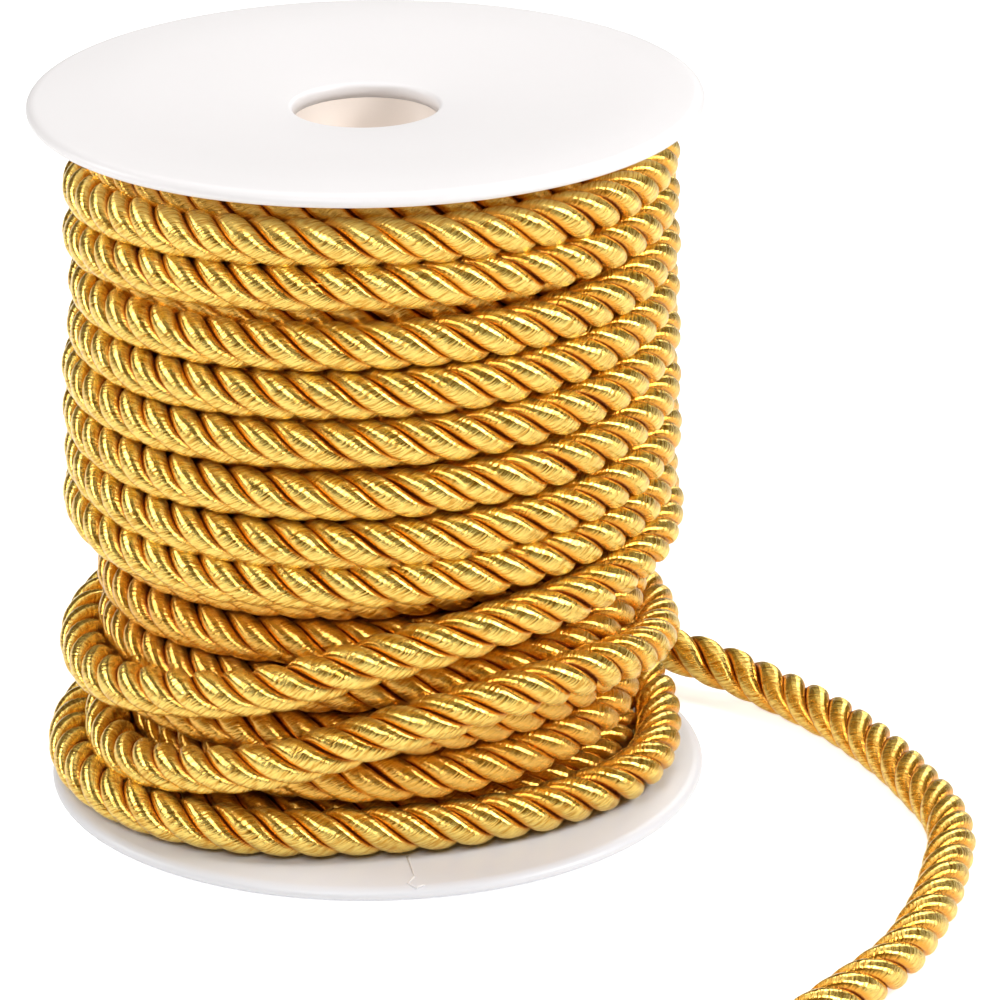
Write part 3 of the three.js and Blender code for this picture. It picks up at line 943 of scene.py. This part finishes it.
class CORD_OT_stray_fibres(bpy.types.Operator):
    """Builds the few fibres that stand out of the outer turns"""

    bl_idname = "cord.stray_fibres"
    bl_label = "Stray fibres"

    def execute(self, context):
        sizes = context.scene.cord_sizes
        points, _, at = outer_rings(sizes)
        forward, _, _ = cord_frame(points)
        random = np.random.default_rng(STRAY_SEED)
        t = np.linspace(0, 1, THREAD_POINTS)[:, None]
        lines = []
        for travelled in random.uniform(*STRAY_TRAVEL, STRAY_FIBRES):
            near = np.argmin(abs(at - travelled))
            away = points[near] * (1, 1, 0)
            away = away / np.linalg.norm(away)
            tilt = random.uniform(-STRAY_TILT, STRAY_TILT)
            outwards = math.cos(tilt) * away + math.sin(tilt) * np.array([0, 0, 1])
            start = points[near] + outwards * (sizes.diameter / 2 - STRAY_FIBRE_ROOT)
            reach = random.uniform(*STRAY_REACH) * MM
            rise = random.uniform(*STRAY_RISE) * MM
            aside = random.uniform(*STRAY_ASIDE) * MM
            line = start + t * reach * forward[near] + t * (0, 0, aside)
            lines.append(line + np.sin(STRAY_BOW * t) * rise * outwards)
        turn = np.linspace(*YARN_LOOP_TURN, THREAD_POINTS)[:, None]
        loop = np.cos(turn) * (1, 0, 0) + np.sin(turn) * CAMERA_UP
        lines.append(YARN_LOOP + YARN_LOOP_RADIUS * loop)
        made = thread_mesh("stray_fibres", np.array(lines), STRAY_FIBRE_WIDTH)
        finish_piece(made, outer_yarn(), "cord", "wound_cord")
        return {"FINISHED"}


class CORD_OT_loose_end(bpy.types.Operator):
    """Builds the loose end of the cord"""

    bl_idname = "cord.loose_end"
    bl_label = "Loose end"

    def execute(self, context):
        sizes = context.scene.cord_sizes
        points, along, at = outer_rings(sizes)
        part = at >= OUTER_END
        part[np.argmax(part) - 1] = True  # shared with the last turn
        made = cord_mesh("loose_end_cord", points[part], along[part], sizes, sizes.ring_sides, SEED)
        finish_piece(made, outer_yarn(), "cord", "loose_end")
        return {"FINISHED"}


class CORD_OT_outer_turns(bpy.types.Operator):
    """Builds the outer turns of the wound cord"""

    bl_idname = "cord.outer_turns"
    bl_label = "Outer turns"

    def execute(self, context):
        sizes = context.scene.cord_sizes
        points, along, at = outer_rings(sizes)
        for name, start, end in OUTER_PIECES:
            part = (at >= start) & (at < end)
            part[np.flatnonzero(part)[-1] + 1] = True  # shared with the next piece
            made = cord_mesh(name, points[part], along[part], sizes, sizes.ring_sides, SEED)
            finish_piece(made, outer_yarn(), "cord", "wound_cord")
        return {"FINISHED"}


class CORD_OT_under_layers(bpy.types.Operator):
    """Builds the under-layer of cord and the layers inside it"""

    bl_idname = "cord.under_layers"
    bl_label = "Layers underneath"

    def execute(self, context):
        sizes = context.scene.cord_sizes
        layer = context.scene.cord_layer_sizes
        spool = context.scene.cord_spool_sizes
        stations = under_stations(layer)
        at = np.arange(stations[0][0], stations[-1][0], UNDER_LINE_STEP)
        height, reach = smooth_between(stations, at).T
        line = on_round(BACK_AZIMUTH - 360 * at, reach, height)
        points, along = spaced(line, UNDER_RING_STEP * sizes.ring_step)
        under = cord_mesh("under_layer", points, along, sizes, UNDER_RING_SIDES, UNDER_SEED)
        finish_piece(under, shaded_under_yarn(), "cord", "wound_cord")
        inner = lathe("inner_layers", inner_outline(layer, spool), INNER_STEPS)
        add_plain_maps(inner)
        finish_piece(inner, shaded_under_yarn(), "cord", "wound_cord")
        return {"FINISHED"}


def inner_outline(layer, spool):
    """Section of the inner layers: a rib for each of their turns, on the core and between the hubs."""
    low_face = spool.flange_thickness + GAP
    high_face = spool.height - low_face
    bore = spool.core_radius + GAP
    heights = np.linspace(low_face, high_face, INNER_RIBS * INNER_RIB_POINTS + 1)
    turns = (heights - low_face) / (high_face - low_face) * INNER_RIBS
    bulge = np.abs(np.sin(math.pi * turns))
    reach = np.where(heights < layer.foot_height, layer.foot_reach, layer.inner_reach)
    outside = zip(reach - INNER_RIB_DEPTH * (1 - bulge), heights)
    return [
        (bore, high_face - spool.hub_sink),
        (bore, low_face + spool.hub_sink),
        (spool.hub_radius, low_face + spool.hub_sink),
        *outside,
        (spool.hub_radius, high_face - spool.hub_sink),
    ]


def add_plain_maps(obj):
    """Maps for a turned piece of wound cord: millimetres round it and up it."""
    mesh = obj.data
    places = np.zeros(len(mesh.vertices) * 3, np.float32)
    mesh.vertices.foreach_get("co", places)
    corners = np.zeros(len(mesh.loops), np.int32)
    mesh.loops.foreach_get("vertex_index", corners)
    x, y, z = places.reshape(-1, 3)[corners].T / MM
    round_it = np.arctan2(y, x) * INNER_MAP_RADIUS
    for label in ("Fibre", "Ply"):
        layer = mesh.uv_layers.new(name=label)
        layer.uv.foreach_set("vector", np.stack([round_it, z], axis=1).ravel())


RIM_POINTS = 17
BEVEL_POINTS = 5


def flange_outline(spool):
    """Section of the lower flange, counter-clockwise, from the bore outwards underneath."""
    middle = spool.flange_thickness / 2
    arc = np.linspace(-math.pi / 2, math.pi / 2, RIM_POINTS)
    rim = [
        (spool.flange_radius - spool.rim_rounding * (1 - math.cos(a)), middle + middle * math.sin(a))
        for a in arc
    ]
    bore, sink, bevel = spool.bore_radius, spool.hub_sink, spool.bore_bevel
    edge = [
        (bore + bevel * (1 - math.cos(a)), sink + bevel * (1 - math.sin(a)))
        for a in np.linspace(0, math.pi / 2, BEVEL_POINTS)
    ]
    slope = [(spool.hub_radius, sink), (spool.dish_radius, 0)]
    upper = [(r, z + spool.flange_thickness) for r, z in reversed([(bore, sink), *slope])]
    return edge + slope + rim + upper


class CORD_OT_spool(bpy.types.Operator):
    """Builds the spool's two flanges, its core and the moulding lines on the lower flange"""

    bl_idname = "cord.spool"
    bl_label = "Spool"

    def execute(self, context):
        spool = context.scene.cord_spool_sizes
        finishes = context.scene.cord_finishes
        outline = flange_outline(spool)
        turned_over = [(r, spool.height - z) for r, z in reversed(outline)]
        low = spool.hub_sink + spool.flange_thickness
        high = spool.height - low
        inside, outside = spool.bore_radius, spool.core_radius
        tube = [(inside, low), (outside, low), (outside, high), (inside, high)]
        lower = lathe("lower_flange", outline, spool.round_steps)
        upper = lathe("upper_flange", turned_over, spool.round_steps)
        core = lathe("spool_core", tube, spool.round_steps)
        white = plastic_material("white_plastic", finishes.white)
        # The lower flange gets the darker copy of the white plastic as painted shade.
        shaded = plastic_material("painted_shade_plastic", finishes.painted_shade_white)
        warm = plastic_material("core_plastic", finishes.core_white)
        finish_piece(upper, white, "spool", "flange_top")
        finish_piece(lower, shaded, "spool", "flange_bottom")
        finish_piece(core, warm, "spool", "core_tube")
        steps = np.linspace(0, 2, THREAD_POINTS)
        lines = [smooth_between(np.column_stack([np.arange(3), row]), steps) for row in FLANGE_RIDGES]
        ridges = thread_mesh("flange_ridges", np.array(lines), RIDGE_WIDTH)
        finish_piece(ridges, white, "spool", "flange_bottom")
        return {"FINISHED"}


class CORD_PT_panel(bpy.types.Panel):
    """Lists the pieces of the model, and the sizes and colours that they are made with"""

    bl_idname = "CORD_PT_panel"
    bl_label = "Cord on a spool"
    bl_space_type = "VIEW_3D"
    bl_region_type = "UI"
    bl_category = "Cord"

    def draw(self, context):
        for operator in OPERATORS:
            self.layout.operator(operator.bl_idname)
        for name, group in PROPERTY_GROUPS.items():
            self.layout.label(text=group.__doc__)
            for setting in group.__annotations__:
                self.layout.prop(getattr(context.scene, name), setting)


PROPERTY_GROUPS = {
    "cord_sizes": CordSizes,
    "cord_layer_sizes": LayerSizes,
    "cord_spool_sizes": SpoolSizes,
    "cord_finishes": Finishes,
}
OPERATORS = (
    CORD_OT_stage,
    CORD_OT_cut_end,
    CORD_OT_loose_end,
    CORD_OT_outer_turns,
    CORD_OT_stray_fibres,
    CORD_OT_under_layers,
    CORD_OT_spool,
)


def register():
    for made in (*PROPERTY_GROUPS.values(), *OPERATORS, CORD_PT_panel):
        bpy.utils.register_class(made)
    for name, group in PROPERTY_GROUPS.items():
        setattr(bpy.types.Scene, name, bpy.props.PointerProperty(type=group))


def unregister():
    for name in PROPERTY_GROUPS:
        delattr(bpy.types.Scene, name)
    for made in (CORD_PT_panel, *reversed(OPERATORS), *reversed(PROPERTY_GROUPS.values())):
        bpy.utils.unregister_class(made)


def main():
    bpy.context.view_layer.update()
    register()
    bpy.ops.cord.stage()
    bpy.ops.cord.cut_end()
    bpy.ops.cord.loose_end()
    bpy.ops.cord.outer_turns()
    bpy.ops.cord.stray_fibres()
    bpy.ops.cord.under_layers()
    bpy.ops.cord.spool()


if __name__ == "__main__":
    main()
